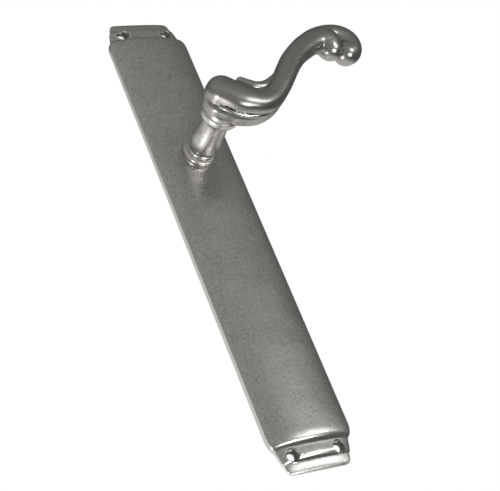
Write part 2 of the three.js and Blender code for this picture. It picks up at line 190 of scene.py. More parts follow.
def make_floor():
    """A plain pale floor, well below the handle, which a door holds up."""
    bpy.ops.mesh.primitive_plane_add(size=FLOOR_SIZE, location=(0, 0, FLOOR_Z))
    floor = bpy.context.object
    floor.name = "floor"
    floor.visible_glossy = False  # the metal mirrors the sheet, not the floor
    material = bpy.data.materials.new("floor_pale")
    material.use_nodes = True
    shader = material.node_tree.nodes["Principled BSDF"]
    shader.inputs["Base Color"].default_value = (*FLOOR_COLOUR, 1)
    shader.inputs["Roughness"].default_value = 0.9
    shader.inputs["Emission Color"].default_value = (*FLOOR_GLOW, 1)
    shader.inputs["Emission Strength"].default_value = FLOOR_GLOW_STRENGTH
    floor.data.materials.append(material)


# ---- materials ----

# Noise mostly lies between these, so they are where its effects start and end.
NOISE_LOW, NOISE_HIGH = 0.3, 0.7

# The plating's features: about how wide each is.
FLECK_SIZE, PATCH_SIZE, CLOUD_SIZE, PIT_SIZE, WAVE_SIZE = 1.2, 6, 28, 0.5, 9
WAVE_DEPTH = 0.12
# How much rubbing brightens edges, and how much hollows darken with patina and painted shade.
RUBBED_SHARE, PATINA_AND_SHADE_SHARE = 0.75, 0.8


def node_material(name):
    """A new material, with its nodes, links and shader."""
    material = bpy.data.materials.new(name)
    material.use_nodes = True
    tree = material.node_tree
    return material, tree.nodes, tree.links, tree.nodes["Principled BSDF"]


def noise(nodes, links, size_mm, detail=3.0, roughness=0.55):
    """Noise whose features are about size_mm across, fixed to the object."""
    place = nodes.new("ShaderNodeTexCoord")
    texture = nodes.new("ShaderNodeTexNoise")
    texture.inputs["Scale"].default_value = 1 / (size_mm * MM)
    texture.inputs["Detail"].default_value = detail
    texture.inputs["Roughness"].default_value = roughness
    links.new(place.outputs["Object"], texture.inputs["Vector"])
    return texture.outputs["Fac"]


def between(nodes, links, value, low, high, to_low, to_high):
    """A value remapped and clamped."""
    node = nodes.new("ShaderNodeMapRange")
    for key, number in zip(("From Min", "From Max", "To Min", "To Max"), (low, high, to_low, to_high)):
        node.inputs[key].default_value = number
    links.new(value, node.inputs["Value"])
    return node.outputs["Result"]


def mixed(nodes, links, factor, first, second, blend="MIX"):
    """Two colours mixed. Each is a colour or a socket."""
    node = nodes.new("ShaderNodeMix")
    node.data_type = "RGBA"
    node.blend_type = blend
    links.new(factor, node.inputs[0])
    for socket, colour in ((node.inputs[6], first), (node.inputs[7], second)):
        if isinstance(colour, tuple):
            socket.default_value = (*colour, 1)
        else:
            links.new(colour, socket)
    return node.outputs[2]


def attribute(nodes, name):
    """A value that the mesh stores at each point."""
    node = nodes.new("ShaderNodeAttribute")
    node.attribute_name = name
    return node.outputs["Fac"]


def maths(nodes, links, operation, first, second):
    """The result of an operation on two values, kept from 0 to 1. Each is a number or a socket."""
    node = nodes.new("ShaderNodeMath")
    node.operation = operation
    node.use_clamp = True
    for socket, value in zip(node.inputs, (first, second)):
        if isinstance(value, (int, float)):
            socket.default_value = value
        else:
            links.new(value, socket)
    return node.outputs[0]


def bumps(nodes, links, shader, layers):
    """Stacks bump layers, each a (height socket, depth in mm) pair, on a shader."""
    below = None
    for height, depth in layers:
        bump = nodes.new("ShaderNodeBump")
        bump.inputs["Distance"].default_value = depth * MM
        links.new(height, bump.inputs["Height"])
        if below:
            links.new(below, bump.inputs["Normal"])
        below = bump.outputs["Normal"]
    links.new(below, shader.inputs["Normal"])


def pewter(name, tone, dark, rough, speckle, grain):
    """Antique pewter plating: mottled grey metal, rubbed bright on edges, and dark in recesses from patina
    and painted shade.

    speckle is how strong the mottling is, and grain the depth in mm of the fine cast texture.
    """
    material, nodes, links, shader = node_material(name)
    shader.inputs["Metallic"].default_value = 1.0
    fine = noise(nodes, links, FLECK_SIZE, 5, 0.75)
    patches = noise(nodes, links, PATCH_SIZE, 3, 0.5)
    cloudy = noise(nodes, links, CLOUD_SIZE, 2, 0.5)
    fleck = between(nodes, links, fine, 0.5 - 0.2 / speckle, 0.5 + 0.2 / speckle, 0, 1)
    base = mixed(nodes, links, fleck, dark, tone)
    shade = between(nodes, links, patches, NOISE_LOW, NOISE_HIGH, 0.0, 0.5)
    base = mixed(nodes, links, shade, base, tuple(0.9 * v for v in tone))
    rubbed = maths(nodes, links, "MULTIPLY", attribute(nodes, "worn"), RUBBED_SHARE)
    base = mixed(nodes, links, rubbed, base, tuple(min(1.0, 1.35 * v) for v in tone))
    # Hollows darken: dark patina, and painted shade where creases and holes lie in shadow.
    patina_and_shade_mask = maths(nodes, links, "MULTIPLY", attribute(nodes, "dark_patina_and_shade"), PATINA_AND_SHADE_SHARE)
    base = mixed(nodes, links, patina_and_shade_mask, base, tuple(0.35 * v for v in dark))
    links.new(base, shader.inputs["Base Color"])
    gloss = between(nodes, links, cloudy, NOISE_LOW, NOISE_HIGH, rough * 0.88, rough * 1.12)
    gloss = maths(nodes, links, "SUBTRACT", gloss, maths(nodes, links, "MULTIPLY", rubbed, rough * 0.5))
    gloss = maths(nodes, links, "ADD", gloss, maths(nodes, links, "MULTIPLY", patina_and_shade_mask, 0.3))
    links.new(gloss, shader.inputs["Roughness"])
    pits = noise(nodes, links, PIT_SIZE, 3, 0.6)
    waves = noise(nodes, links, WAVE_SIZE, 1, 0.4)
    bumps(nodes, links, shader, [(waves, WAVE_DEPTH), (fine, grain), (pits, grain * 0.5)])
    return material


def plain_metal(name, colour, rough, metallic=1.0):
    """Machined or pressed metal with a faint cloudy film and fine scratches."""
    material, nodes, links, shader = node_material(name)
    shader.inputs["Metallic"].default_value = metallic
    film = noise(nodes, links, 5, 3)
    fine = noise(nodes, links, 0.4, 2)
    clouds = between(nodes, links, film, NOISE_LOW, NOISE_HIGH, 0, 1)
    base = mixed(nodes, links, clouds, colour, tuple(0.82 * v for v in colour))
    links.new(base, shader.inputs["Base Color"])
    gloss = between(nodes, links, fine, NOISE_LOW, NOISE_HIGH, rough * 0.85, rough * 1.2)
    links.new(gloss, shader.inputs["Roughness"])
    bumps(nodes, links, shader, [(fine, 0.01)])
    return material


def nylon(name):
    """Off-white nylon with a faint cloudy film."""
    material, nodes, links, shader = node_material(name)
    film = noise(nodes, links, 3, 2)
    base = mixed(nodes, links, film, (0.78, 0.75, 0.66), (0.85, 0.83, 0.76))
    links.new(base, shader.inputs["Base Color"])
    shader.inputs["Roughness"].default_value = 0.5
    shader.inputs["Subsurface Weight"].default_value = 0.1
    shader.inputs["Subsurface Radius"].default_value = (0.002, 0.002, 0.0015)
    bumps(nodes, links, shader, [(noise(nodes, links, 0.6, 2), 0.01)])
    return material


# A pewter's numbers are its tone, its dark tone, roughness, mottling and grain.
MATERIALS = {
    "plate": pewter("pewter_plate", (0.62, 0.608, 0.58), (0.36, 0.353, 0.335), 0.37, 1.9, 0.05),
    "scroll": pewter("pewter_scroll", (0.42, 0.409, 0.388), (0.29, 0.282, 0.266), 0.36, 1.3, 0.008),
    "neck": pewter("pewter_neck", (0.64, 0.628, 0.60), (0.34, 0.333, 0.315), 0.42, 1.8, 0.012),
    "steel": plain_metal("zinc_steel", (0.56, 0.57, 0.58), 0.34),
    "spring": plain_metal("spring_steel", (0.30, 0.31, 0.32), 0.3),
    "nylon": nylon("nylon_bush"),
}

# ---- mesh tools ----

SHORTEST_EDGE = 0.05
SPREAD_ROUNDS = 2


def curvature_attributes(mesh, reach):
    """Stores how convex (worn) and how hollow the surface is at each point, from 0 to 1. The hollow value
    darkens the pewter: dark patina, and painted shade in creases.

    reach is the radius in mm at which an edge counts as fully worn, or a hollow as fully dark.
    """
    count = len(mesh.vertices)
    points = np.empty(count * 3)
    normals = np.empty(count * 3)
    mesh.vertices.foreach_get("co", points)
    mesh.vertices.foreach_get("normal", normals)
    points, normals = points.reshape(-1, 3) / MM, normals.reshape(-1, 3)
    edges = np.empty(len(mesh.edges) * 2, dtype=int)
    mesh.edges.foreach_get("vertices", edges)
    a, b = edges.reshape(-1, 2).T
    step = points[b] - points[a]
    length = np.maximum(np.linalg.norm(step, axis=1), SHORTEST_EDGE)
    bend = ((normals[b] - normals[a]) * step).sum(axis=1) / length**2
    total, weight = np.zeros(count), np.zeros(count)
    for end in (a, b):
        np.add.at(total, end, bend)
        np.add.at(weight, end, 1)
    mean = total / np.maximum(weight, 1)
    for _ in range(SPREAD_ROUNDS):
        spread, weight = np.zeros(count), np.zeros(count)
        for end, other in ((a, b), (b, a)):
            np.add.at(spread, end, mean[other])
            np.add.at(weight, end, 1)
        mean = 0.5 * mean + 0.5 * spread / np.maximum(weight, 1)
    for name, amount in (("worn", mean), ("dark_patina_and_shade", -mean)):
        layer = mesh.attributes.new(name, "FLOAT", "POINT")
        layer.data.foreach_set("value", np.clip(amount * reach, 0, 1))


def make_piece(name, verts, faces, body, material, nodes, sharp_deg=50, reach=1.2):
    """A smooth-shaded piece from points in mm (x, height, z). It takes the place of the CAD nodes.

    It rides on a body, if one is given. Edges that bend by more than sharp_deg stay sharp.
    """
    mesh = bpy.data.meshes.new(name)
    verts = np.asarray(verts, dtype=float)
    placed = np.stack([verts[:, 0], -verts[:, 1], verts[:, 2]], axis=1) * MM
    mesh.from_pydata(placed.tolist(), [], [list(face) for face in faces])
    piece = bpy.data.objects.new(name, mesh)
    bpy.context.collection.objects.link(piece)
    finish_piece(piece, body, material, nodes, sharp_deg, reach)
    return piece


def finish_piece(piece, body, material, nodes, sharp_deg=50, reach=1.2):
    """Merges a piece's doubled points, gives it its look, ties it to its body and hides its CAD nodes."""
    mesh = piece.data
    work = bmesh.new()
    work.from_mesh(mesh)
    bmesh.ops.remove_doubles(work, verts=work.verts, dist=1e-7)
    bmesh.ops.recalc_face_normals(work, faces=work.faces)
    work.to_mesh(mesh)
    work.free()
    mesh.polygons.foreach_set("use_smooth", [True] * len(mesh.polygons))
    mesh.set_sharp_from_angle(angle=math.radians(sharp_deg))
    mesh.materials.clear()
    mesh.materials.append(MATERIALS[material])
    curvature_attributes(mesh, reach)
    if body:
        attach(piece, body)
    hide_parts(*nodes)


def grid_faces(rows, columns, closed_rows=False, closed_columns=False):
    """Quads over a grid of points, numbered row by row."""
    faces = []
    for r in range(rows if closed_rows else rows - 1):
        for c in range(columns if closed_columns else columns - 1):
            r2, c2 = (r + 1) % rows, (c + 1) % columns
            faces.append((r * columns + c, r * columns + c2, r2 * columns + c2, r2 * columns + c))
    return faces


def rounded(outline, radius, closed=True, steps=4):
    """An outline of (a, b) points whose corners are rounded by up to radius."""
    points = [np.array(p, dtype=float) for p in outline]
    out = []
    for i, corner in enumerate(points):
        if not closed and i in (0, len(points) - 1):
            out.append(corner)
            continue
        before, after = points[i - 1] - corner, points[(i + 1) % len(points)] - corner
        cut = min(radius, 0.45 * np.linalg.norm(before), 0.45 * np.linalg.norm(after))
        start = corner + before / np.linalg.norm(before) * cut
        end = corner + after / np.linalg.norm(after) * cut
        for t in np.linspace(0, 1, steps):
            out.append((1 - t) ** 2 * start + 2 * t * (1 - t) * corner + t**2 * end)
    return out


def smooth_through(points, per_span=8):
    """A Catmull-Rom curve through points of any number of values."""
    p = np.array(points, dtype=float)
    p = np.vstack([2 * p[0] - p[1], p, 2 * p[-1] - p[-2]])
    out = []
    for i in range(1, len(p) - 2):
        a, b, c, d = p[i - 1 : i + 3]
        for u in np.arange(per_span) / per_span:
            bend = (2 * a - 5 * b + 4 * c - d) * u * u + (3 * b - a - 3 * c + d) * u**3
            out.append(0.5 * (2 * b + (c - a) * u + bend))
    return np.array([*out, p[-2]])


def lathe(outline, steps=128, centre=(0.0, NECK_Z)):
    """A ring turned about an axis along the heights, from a closed outline of (radius, height)."""
    turns = np.linspace(0, 2 * math.pi, steps, endpoint=False)
    verts = [
        (centre[0] + r * math.cos(t), h, centre[1] + r * math.sin(t)) for t in turns for r, h in outline
    ]
    return verts, grid_faces(steps, len(outline), closed_rows=True, closed_columns=True)


def solid_lathe(outline, steps=64, centre=(0.0, NECK_Z)):
    """A solid bar turned from an open outline of (radius, height), closed flat at both ends."""
    verts, faces = lathe(outline, steps, centre)
    count = len(outline)
    faces = [f for f in faces if not {f[0] % count, f[1] % count} == {0, count - 1}]
    for end in (0, count - 1):
        faces.append(tuple(s * count + end for s in range(steps)))
    return verts, faces


def polar(radius, degrees, height):
    """A point about the neck's axis. The angle runs from +X towards -Z, as the lever drops."""
    angle = math.radians(degrees)
    return (radius * math.cos(angle), height, NECK_Z - radius * math.sin(angle))


def solid_object(name, verts, faces):
    """A loose object for cutting or joining, from points in mm (x, height, z)."""
    mesh = bpy.data.meshes.new(name)
    placed = [(x * MM, -h * MM, z * MM) for x, h, z in verts]
    mesh.from_pydata(placed, [], [list(face) for face in faces])
    work = bmesh.new()
    work.from_mesh(mesh)
    bmesh.ops.recalc_face_normals(work, faces=work.faces)
    work.to_mesh(mesh)
    work.free()
    made = bpy.data.objects.new(name, mesh)
    bpy.context.collection.objects.link(made)
    return made


def combine(target, operation, tools):
    """Joins the tools to the target, or cuts them from it, and deletes them."""
    for tool in tools:
        step = target.modifiers.new("combine", "BOOLEAN")
        step.operation = operation
        step.solver = "EXACT"
        step.object = tool
    depsgraph = bpy.context.evaluated_depsgraph_get()
    mesh = bpy.data.meshes.new_from_object(target.evaluated_get(depsgraph))
    target.modifiers.clear()
    target.data = mesh
    for tool in tools:
        bpy.data.objects.remove(tool)
    return target


# ---- backplate ----

CROWN_POWER = 0.62  # 0.5 is half an ellipse, and 1 a parabola
# One end's moulding: distance from the end, half width, height on the centre line, height of the wall.
END_STATIONS = [
    (0, 15.4, 1.5, 1.0),
    (0.7, 17.1, 2.1, 1.3),
    (2, 18.1, 2.6, 1.5),
    (4, 18.7, 3.1, 1.6),
    (5.4, 19.0, 3.3, 1.7),
    (6, 19.5, 4.1, 1.8),
    (6.8, 19.8, 5.0, 1.9),
    (8.2, 20.2, 5.5, 2.0),
    (12.4, 21.2, 5.5, 2.1),
    (13.4, 21.5, 5.7, 2.3),
    (14, 22.2, 6.5, 2.7),
    (14.9, 22.8, 7.6, 3.1),
    (16.2, 23.3, 8.3, 3.3),
    (18, 23.8, 8.6, 3.4),
    (20.3, 24.0, 8.7, 3.5),
    (24, 24.0, 8.7, 3.5),
]
BODY_WALL = END_STATIONS[-1][3]
BACK_EDGE = 0.25

SCREW_X, SCREW_Z = 13.4, 135.7
# What a screw hole cuts away: the shank's hole, a chamfer and the head's seat, as radius and height.
SCREW_CUT = [(2.25, -1), (2.25, 1.4), (2.6, 1.8), (3.7, 1.8), (3.7, 9)]
# Inside this radius the screw holes are painted dark, as shade.
SHADED_HOLE_RADIUS = 3.65  # just inside the seat's wall


def plate_section(z, half_width, crown, wall, steps=64):
    """The plate's section at one z, from one back edge over the domed front to the other."""
    edge = BACK_EDGE
    across = np.cos(np.pi * np.arange(steps + 1) / steps)
    rise = (1 - across**2) ** CROWN_POWER
    front = [(half_width * x, wall + (crown - wall) * r, z) for x, r in zip(across, rise)]
    left, right = -half_width, half_width
    right_wall = [(right - edge, 0, z), (right, edge, z), (right, wall * 0.55, z)]
    left_wall = [(left, wall * 0.55, z), (left, edge, z), (left + edge, 0, z)]
    return [*right_wall, *front, *left_wall]


def loft(sections):
    """A solid through sections that have equally many points, closed flat at both ends."""
    count = len(sections[0])
    verts = [p for section in sections for p in section]
    faces = grid_faces(len(sections), count, closed_columns=True)
    faces.append(tuple(range(count)))
    faces.append(tuple(range(len(verts) - count, len(verts))))
    return verts, faces


def plate_outside():
    """The plate's whole outside: the moulding at the low end, the plain middle and the high end."""
    ends = smooth_through(END_STATIONS, 5)
    ends[:, 1] = np.minimum(ends[:, 1], PLATE_HALF_WIDTH)
    low = [plate_section(d - PLATE_HALF_LENGTH, *rest) for d, *rest in ends]
    high = [plate_section(PLATE_HALF_LENGTH - d, *rest) for d, *rest in ends]
    body = ends[-1]
    reach = PLATE_HALF_LENGTH - body[0]
    middle = [plate_section(z, *body[1:]) for z in np.linspace(-reach, reach, 60)[1:-1]]
    return loft([*low, *middle, *high[::-1]])


def plate_bay(low, high):
    """The cutting shape of one hollow bay in the plate's back."""
    side_wall, skin, edge = 2.2, 1.8, 0.6
    section = plate_section(0, PLATE_HALF_WIDTH - side_wall, PLATE_CROWN - skin, BODY_WALL - edge, 24)
    behind = [(x, -1.0 if h == 0 else h, z) for x, h, z in section]
    return loft([[(x, h, z) for x, h, _ in behind] for z in (low, high)])


RIBS_Z = (-120.5, -60.0, 0.0, 80.0, 120.5)
RIB_HALF = 1.5
HUB_RADIUS, HUB_LOW, HUB_HIGH = 12.4, 5.1, 7.2
BORE_RADIUS = 8.7
COLLAR_SEAT_RADIUS, COLLAR_SEAT_HEIGHT = 9.75, 6.8
COVER_SCREW_Z = 19.5  # from the neck's axis
BOSS_RADIUS, BOSS_LOW, BOSS_HIGH = 3, 3.1, 7.5


def backplate():
    """The domed casting, hollow behind, with ribs, a hub, two bosses and its holes."""
    plate = solid_object("backplate_look", *plate_outside())
    bays = [
        solid_object("bay", *plate_bay(low + RIB_HALF, high - RIB_HALF))
        for low, high in zip(RIBS_Z, RIBS_Z[1:])
    ]
    combine(plate, "DIFFERENCE", bays)
    hub = solid_lathe(rounded([(HUB_RADIUS, HUB_LOW), (HUB_RADIUS, HUB_HIGH)], 0.4, closed=False), 96)
    bosses = [solid_object("hub", *hub)]
    for side in (-1, 1):
        at = (0.0, NECK_Z + side * COVER_SCREW_Z)
        boss = solid_lathe([(BOSS_RADIUS, BOSS_LOW), (BOSS_RADIUS, BOSS_HIGH)], 48, at)
        bosses.append(solid_object("boss", *boss))
    combine(plate, "UNION", bosses)
    cuts = [
        solid_lathe([(BORE_RADIUS, 3), (BORE_RADIUS, 10)], 96),
        solid_lathe([(COLLAR_SEAT_RADIUS, COLLAR_SEAT_HEIGHT), (COLLAR_SEAT_RADIUS, 10)], 96),
    ]
    for side, end in product((-1, 1), repeat=2):
        at = (side * SCREW_X, end * SCREW_Z)
        cuts.append(solid_lathe(SCREW_CUT, 64, at))
    combine(plate, "DIFFERENCE", [solid_object("cut", *cut) for cut in cuts])
    finish_piece(plate, "plate", "plate", ["backplate"], 38)
    paint_shade_in_holes(plate.data)


def paint_shade_in_holes(mesh):
    """Paints shade into the screw holes: their insides are marked fully hollow, so they come out dark."""
    dark_patina_and_shade = mesh.attributes["dark_patina_and_shade"].data
    for vertex in mesh.vertices:
        x, z = abs(vertex.co.x) / MM, abs(vertex.co.z) / MM
        if math.hypot(x - SCREW_X, z - SCREW_Z) < SHADED_HOLE_RADIUS:
            dark_patina_and_shade[vertex.index].value = 1.0


# ---- collar, bush and neck ----


def collar_ring():
    """The ring on the plate round the neck, with a bead round its top."""
    low, high = heights("collar_ring")
    outer = radius_of("collar_ring")
    bead_out, bead_half = 0.4, 1.1
    mid = high - bead_half
    bead = [
        (outer - bead_out + bead_out * math.cos(t), mid + bead_half * math.sin(t))
        for t in np.linspace(-math.pi / 2, math.pi / 2, 11)
    ]
    outline = [(BORE_RADIUS, low), (outer - 0.1, low), (outer - 0.1, mid - 1.5), *bead]
    outline.append((BORE_RADIUS + 0.2, high))
    verts, faces = lathe(outline)
    make_piece("collar_ring_look", verts, faces, "plate", "neck", ["collar_ring"], 60)


def neck_bush():
    """The flanged nylon bush that the neck turns in."""
    low, high = heights("neck_bush")
    bore, body, flange, thick = 7.5, 8.5, 9.9, 0.9
    outline = [(bore, low), (flange, low), (flange, low + thick), (body, low + thick)]
    outline += [(body, high), (bore, high)]
    verts, faces = lathe(rounded(outline, 0.2))
    make_piece("neck_bush_look", verts, faces, "plate", "nylon", ["neck_bush"])


JOURNAL_RADIUS = 7.3
CLIP_GROOVE_RADIUS, CLIP_GROOVE_LOW, CLIP_GROOVE_HIGH = 6.6, 0.4, 1.3
# The barrel between the lower ring and the disc: radius and height.
BARREL = [
    (7.2, 15.8),
    (7.6, 16.5),
    (8.4, 18.5),
    (8.8, 22.5),
    (8.5, 27),
    (7.8, 32),
    (7.5, 37),
    (7.8, 39.5),
    (9.0, 41.6),
]
DISC_RADIUS = 10.7
SOCKET_HALF = 4.1
SOCKET_TOP = 31.0


def neck_outline():
    """The neck's radius and height, from its back end to where the scroll covers it."""
    journal = [(JOURNAL_RADIUS, 0.1), (JOURNAL_RADIUS, CLIP_GROOVE_LOW)]
    journal += [(CLIP_GROOVE_RADIUS, CLIP_GROOVE_LOW), (CLIP_GROOVE_RADIUS, CLIP_GROOVE_HIGH)]
    journal += [(JOURNAL_RADIUS, CLIP_GROOVE_HIGH), (JOURNAL_RADIUS, 12.3), (7.7, 12.3)]
    bead = [
        (7.5 + 0.8 * math.cos(t), 14 + 1.3 * math.sin(t))
        for t in np.linspace(-math.pi / 2, math.pi / 2, 13)
    ]
    barrel = [tuple(p) for p in smooth_through(BARREL, 6)]
    disc = [(10.1, 42.0), (10.55, 42.4), (DISC_RADIUS, 43.0), (DISC_RADIUS, 45.8), (10.5, 46.3)]
    return [*journal, *bead, *barrel, *disc, (10, 46.6), (9.6, 49)]


def lever_neck():
    """The turned neck, with a square socket for the spindle in its back end."""
    neck = solid_object("lever_neck", *solid_lathe(neck_outline(), 128))
    half = SOCKET_HALF
    corners = [(-half, -half), (half, -half), (half, half), (-half, half)]
    socket = loft([[(x, h, NECK_Z + z) for x, z in corners] for h in (-1.0, SOCKET_TOP)])
    combine(neck, "DIFFERENCE", [solid_object("socket", *socket)])
    finish_piece(neck, "lever", "neck", ["lever_handle"], 40)


# ---- scroll: strands joined as a distance field ----

# A strand follows a flat S. Each station has x and z from the neck's axis, the height of its middle,
# its half width in the plane of the S and its half depth. A strand's first number is its power, 2 for
# an oval section and more for a squarer one, and its second is the radius of its fillet.
STRANDS = {
    "main": (2.4, 0.6, [
        (-2.2, 4.7, 56.0, 8.7, 7.8),
        (5.5, -1.0, 56.0, 9.0, 8.0),
        (11.0, -3.0, 56.0, 8.3, 7.7),
        (16.5, -3.9, 56.0, 7.3, 7.0),
        (22.0, -2.9, 56.2, 6.6, 6.4),
        (28.0, 0.3, 56.4, 6.0, 6.1),
        (35.6, 7.8, 56.7, 5.8, 6.2),
        (45.4, 19.7, 56.9, 6.0, 6.3),
        (52.3, 26.3, 57.0, 6.0, 6.3),
        (59.0, 31.0, 57.0, 6.2, 6.4),
        (66.0, 35.0, 57.0, 6.6, 6.4),
        (71.5, 36.6, 57.0, 7.0, 6.5),
        (75.4, 35.6, 57.0, 7.1, 6.7),
    ]),
    "curl": (2, 2.5, [
        (75.4, 35.6, 56.8, 7.1, 6.5),
        (77.6, 33.2, 56.5, 7.0, 6.7),
        (76.8, 30.9, 56.3, 7.1, 6.8),
    ]),
    "wall": (6, 1.2, [
        (-2.0, 4.7, 51.3, 8.4, 5.1),
        (5.5, -1.0, 51.3, 8.7, 5.1),
        (11.0, -3.0, 51.3, 8.0, 5.1),
        (16.5, -3.9, 51.4, 7.0, 5.0),
        (28.0, 0.3, 52.2, 5.4, 4.6),
        (35.6, 7.8, 53.2, 4.2, 4.0),
    ]),
    "skirt": (5, 1.6, [
        (-2.4, 0.8, 50.3, 8.4, 4.1),
        (3.2, -2.0, 50.3, 8.9, 4.1),
        (10.0, -3.4, 50.3, 9.2, 4.1),
        (16.5, -3.5, 50.3, 8.4, 4.1),
        (23.5, -2.0, 50.5, 6.6, 4.0),
        (29.5, 1.6, 51.2, 5.1, 4.0),
        (36.0, 8.2, 52.2, 4.0, 4.2),
    ]),
    "bead": (2, 0.4, [
        (-6.2, -3.2, 54.5, 0.6, 0.7),
        (-3.5, -5.8, 55.2, 1.2, 1.2),
        (0.0, -8.2, 55.2, 1.3, 1.3),
        (5.5, -10.6, 55.0, 1.2, 1.2),
        (12.0, -11.4, 54.6, 1.1, 1.1),
        (18.5, -10.6, 54.2, 1.0, 1.0),
        (24.0, -8.0, 54.0, 0.8, 0.8),
    ]),
    "web": (3, 1.0, [
        (6.0, 6.5, 50.2, 4.5, 3.6),
        (14.0, 5.5, 50.2, 4.6, 3.6),
        (22.0, 4.5, 50.4, 4.4, 3.7),
        (31.0, 8.5, 51.5, 4.0, 3.8),
        (41.0, 17.5, 53.0, 3.6, 4.0),
    ]),
    "outer": (2, 0.6, [
        (11.2, 10.9, 56.6, 2.3, 2.6),
        (15.0, 8.2, 56.5, 2.9, 3.2),
        (19.8, 6.2, 56.4, 3.2, 3.4),
        (26.7, 7.4, 56.3, 3.2, 3.5),
        (34.9, 12.6, 56.1, 3.0, 3.8),
        (40.6, 18.0, 55.9, 3.2, 4.2),
        (47.0, 24.6, 55.5, 3.4, 4.6),
        (54.0, 30.6, 55.0, 4.0, 5.0),
        (62.0, 36.3, 54.5, 4.8, 5.4),
        (70.0, 40.5, 54.0, 5.4, 5.8),
        (77.9, 42.6, 53.5, 6.0, 6.2),
        (83.9, 43.0, 53.2, 6.3, 6.5),
        (88.4, 41.5, 53.0, 7.0, 6.9),
        (91.7, 38.3, 53.0, 7.3, 7.1),
        (92.5, 34.3, 53.0, 7.25, 7.2),
        (91.1, 31.2, 53.0, 7.2, 7.2),
        (88.4, 29.8, 53.0, 7.2, 7.2),
    ]),
}
# A fine groove cut along the outer side of the bead. Each station has x, z, height and radius.
GROOVE = [
    (-6.4, -2.2, 56.0, 0.25),
    (-3.2, -5.1, 56.6, 0.45),
    (0.2, -7.6, 56.6, 0.50),
    (5.5, -9.9, 56.4, 0.50),
    (12.0, -10.8, 56.0, 0.50),
    (18.5, -10.0, 55.6, 0.45),
    (25.0, -7.0, 55.4, 0.40),
]
GROOVE_FILLET = 0.3
STATION_STEPS = 6  # curve points from one station to the next
# Along the plain grip the fillets are larger, so that the strands merge.
GRIP_FILLET = 3.0
GRIP_FROM, GRIP_TO, GRIP_FADE = 44.0, 56.0, 10.0

# The box that the scroll is sampled in: x, height and z, from the neck's axis.
SAMPLE_LOW = (-15.0, 44.5, -16.5)
SAMPLE_HIGH = (101.0, 67.5, 52.0)
SAMPLE_STEP, QUICK_STEP = 0.45, 0.9
TINY = 1e-6  # keeps divisions and powers clear of zero


def section_distance(side, out, half_width, half_depth, power):
    """About how far a point is from a section's edge, where side and out are its offsets."""
    u = np.abs(side) / half_width + TINY
    v = np.abs(out) / half_depth + TINY
    level = (u**power + v**power) ** (1 / power)
    slope = level ** (1 - power) * np.hypot(u ** (power - 1) / half_width, v ** (power - 1) / half_depth)
    return (level - 1) / np.maximum(slope, 1e-3)


def nearest_station(path, x, z):
    """For points x, z: distance to a strand's path, and the other values of its stations there."""
    start, step = path[:-1], np.diff(path, axis=0)
    length2 = (step[:, :2] ** 2).sum(axis=1)
    best = np.full(x.shape, np.inf)
    found = np.zeros((x.size, path.shape[1] - 2))
    for a, d, l2 in zip(start, step, length2):
        along = np.clip(((x - a[0]) * d[0] + (z - a[1]) * d[1]) / l2, 0, 1)
        distance = np.hypot(x - a[0] - along * d[0], z - a[1] - along * d[1])
        closer = distance < best
        best[closer] = distance[closer]
        found[closer] = a[2:] + along[closer, None] * d[2:]
    return best, found


def smooth_union(first, second, radius):
    """The union of two distance fields, with a fillet where they meet."""
    overlap = np.maximum(radius - np.abs(first - second), 0) / radius
    return np.minimum(first, second) - overlap**2 * radius / 4


def grip_share(x):
    """How much each x lies in the plain grip, from 0 to 1."""
    outside = np.maximum(np.maximum(GRIP_FROM - x, x - GRIP_TO), 0) / GRIP_FADE
    fade = np.clip(1 - outside, 0, 1)
    return fade * fade * (3 - 2 * fade)


def scroll_field(x, z, height):
    """The scroll's distance field. x and z are flat arrays; height is a row of levels, or one each."""
    level = height[None, :] if height.size != x.size else height
    column = (lambda a: a[:, None]) if height.size != x.size else (lambda a: a)
    share = column(grip_share(x))
    total = None
    for power, fillet, stations in STRANDS.values():
        side, at = nearest_station(smooth_through(stations, STATION_STEPS), x, z)
        mid, half_width, half_depth = (column(at[:, i]) for i in range(3))
        one = section_distance(column(side), level - mid, half_width, half_depth, power)
        radius = fillet + (GRIP_FILLET - fillet) * share
        total = one if total is None else smooth_union(total, one, radius)
    side, at = nearest_station(smooth_through(GROOVE, STATION_STEPS), x, z)
    groove = np.hypot(column(side), level - column(at[:, 0])) - column(at[:, 1])
    return -smooth_union(-total, groove, GROOVE_FILLET)


def surface_net(field, low, step):
    """The zero level of a sampled field, as points and quads: one point in each cell that it crosses."""
    shape = np.array(field.shape)
    cells = tuple(shape - 1)
    total, count = np.zeros((*cells, 3)), np.zeros(cells)
    crossings = []
    for axis in range(3):
        first = tuple(slice(0, -1) if i == axis else slice(1, -1) for i in range(3))
        second = tuple(slice(1, None) if i == axis else slice(1, -1) for i in range(3))
        f0, f1 = field[first], field[second]
        at = np.argwhere((f0 < 0) != (f1 < 0))
        a, b = f0[tuple(at.T)], f1[tuple(at.T)]
        base = at + [0 if i == axis else 1 for i in range(3)]
        point = base.astype(float)
        point[:, axis] += a / (a - b)
        others = [i for i in range(3) if i != axis]
        ring = []
        for du, dv in ((1, 1), (0, 1), (0, 0), (1, 0)):
            cell = base.copy()
            cell[:, others[0]] -= du
            cell[:, others[1]] -= dv
            np.add.at(total, tuple(cell.T), point)
            np.add.at(count, tuple(cell.T), 1)
            ring.append(cell)
        flip = (a < 0) != (axis == 1)
        crossings.append((ring, flip))
    used = count > 0
    index = np.full(cells, -1)
    index[used] = np.arange(used.sum())
    points = np.array(low) + step * total[used] / count[used][:, None]
    quads = []
    for ring, flip in crossings:
        quad = np.stack([index[tuple(cell.T)] for cell in ring], axis=1)
        quads.append(np.where(flip[:, None], quad, quad[:, ::-1]))
    return points, np.concatenate(quads)


